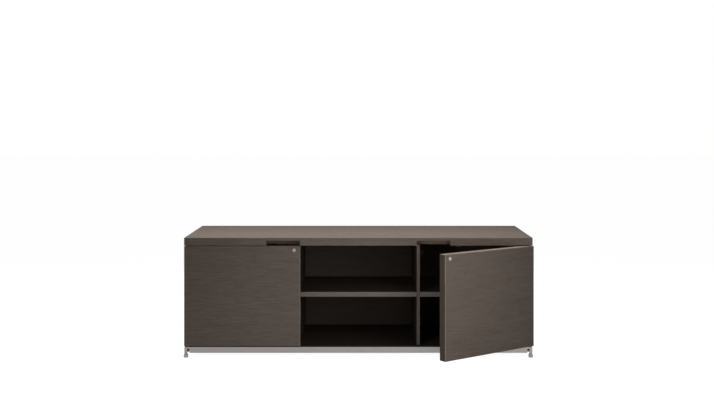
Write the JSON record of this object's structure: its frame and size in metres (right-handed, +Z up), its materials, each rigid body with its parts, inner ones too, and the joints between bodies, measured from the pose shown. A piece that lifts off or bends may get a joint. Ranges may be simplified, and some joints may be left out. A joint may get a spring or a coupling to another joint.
{
  "type": "office credenza",
  "caption": "Low office credenza with hinged lockable end doors, an open middle bay, shelves, finger recesses under a thick top and a slim steel base on levelling feet.",
  "frame": {"origin": "on the floor, under the middle of the top in length and depth", "axes": "+X along the length to the right as seen from the doors, +Y to the back, +Z up; the doors face -Y"},
  "size_m": [1.8114, 0.9409, 0.62],
  "materials": {
    "veneer": "dark grey-brown stained oak veneer, horizontal straight grain, satin lacquer",
    "beech": "plain beech",
    "base_steel": "satin stainless steel",
    "hardware_steel": "zinc-plated steel",
    "striker_black": "black powder coat on steel",
    "lock_chrome": "satin nickel-plated brass",
    "bush_brass": "plain turned brass",
    "washer_nylon": "black nylon",
    "catch_plastic": "black moulded ABS",
    "bumper_rubber": "soft clear polyurethane, greyed"
  },
  "bodies": {
    "carcass": {"top_panel": "veneer", "bottom_panel": "veneer", "back_panel": "veneer", "left_side_panel": "veneer", "right_side_panel": "veneer", "left_partition": "veneer", "right_partition": "veneer", "left_shelf": "veneer", "middle_shelf": "veneer", "right_shelf": "veneer", "top_dowels": "beech", "bottom_dowels": "beech", "front_rail": "base_steel", "rear_rail": "base_steel", "left_side_rail": "base_steel", "right_side_rail": "base_steel", "left_bearer": "base_steel", "right_bearer": "base_steel", "front_left_leg": "base_steel", "front_right_leg": "base_steel", "rear_left_leg": "base_steel", "rear_right_leg": "base_steel", "left_shelf_pins": "hardware_steel", "middle_shelf_pins": "hardware_steel", "right_shelf_pins": "hardware_steel", "base_screws": "hardware_steel", "left_lower_pivot_pin": "hardware_steel", "right_lower_pivot_pin": "hardware_steel", "left_striker": "striker_black", "right_striker": "striker_black", "left_upper_pivot_bush": "bush_brass", "right_upper_pivot_bush": "bush_brass", "left_pivot_washer": "washer_nylon", "right_pivot_washer": "washer_nylon", "left_catch": "catch_plastic", "right_catch": "catch_plastic"},
    "left_door": {"left_door": "veneer", "left_upper_pivot_pin": "hardware_steel", "left_lower_pivot_bush": "bush_brass", "left_door_bumpers": "bumper_rubber", "left_lock_housing": "lock_chrome", "left_lock_nut": "hardware_steel", "left_catch_plate": "hardware_steel"},
    "left_lock": {"left_lock_plug": "lock_chrome", "left_lock_cam": "hardware_steel", "left_cam_screw": "hardware_steel"},
    "right_door": {"right_door": "veneer", "right_upper_pivot_pin": "hardware_steel", "right_lower_pivot_bush": "bush_brass", "right_door_bumpers": "bumper_rubber", "right_lock_housing": "lock_chrome", "right_lock_nut": "hardware_steel", "right_catch_plate": "hardware_steel"},
    "right_lock": {"right_lock_plug": "lock_chrome", "right_lock_cam": "hardware_steel", "right_cam_screw": "hardware_steel"},
    "front_left_foot": {"front_left_foot": "base_steel"},
    "front_right_foot": {"front_right_foot": "base_steel"},
    "rear_left_foot": {"rear_left_foot": "base_steel"},
    "rear_right_foot": {"rear_right_foot": "base_steel"}
  },
  "joints": [
    {"name": "left_door_swing", "type": "hinge", "parent": "carcass", "child": "left_door", "pos_m": [-0.8925, -0.285, 0.319], "axis": [0, 0, -1], "range_deg": [0, 100]},
    {"name": "right_door_swing", "type": "hinge", "parent": "carcass", "child": "right_door", "pos_m": [0.8925, -0.285, 0.319], "axis": [0, 0, 1], "range_deg": [-35.5, 64.5]},
    {"name": "left_lock_turn", "type": "hinge", "parent": "left_door", "child": "left_lock", "pos_m": [-0.3315, -0.3, 0.556], "axis": [0, -1, 0], "range_deg": [0, 90]},
    {"name": "right_lock_turn", "type": "hinge", "parent": "right_door", "child": "right_lock", "pos_m": [0.44449, -0.62299, 0.556], "axis": [-0.5807, 0.8141, 0], "range_deg": [0, 90]},
    {"name": "front_left_foot_turn", "type": "hinge", "parent": "carcass", "child": "front_left_foot", "pos_m": [-0.8925, -0.285, 0.022], "axis": [0, 0, 1], "range_deg": [-576, 2304]},
    {"name": "front_right_foot_turn", "type": "hinge", "parent": "carcass", "child": "front_right_foot", "pos_m": [0.8925, -0.285, 0.022], "axis": [0, 0, 1], "range_deg": [-576, 2304]},
    {"name": "rear_left_foot_turn", "type": "hinge", "parent": "carcass", "child": "rear_left_foot", "pos_m": [-0.8925, 0.285, 0.022], "axis": [0, 0, 1], "range_deg": [-576, 2304]},
    {"name": "rear_right_foot_turn", "type": "hinge", "parent": "carcass", "child": "rear_right_foot", "pos_m": [0.8925, 0.285, 0.022], "axis": [0, 0, 1], "range_deg": [-576, 2304]}
  ]
}
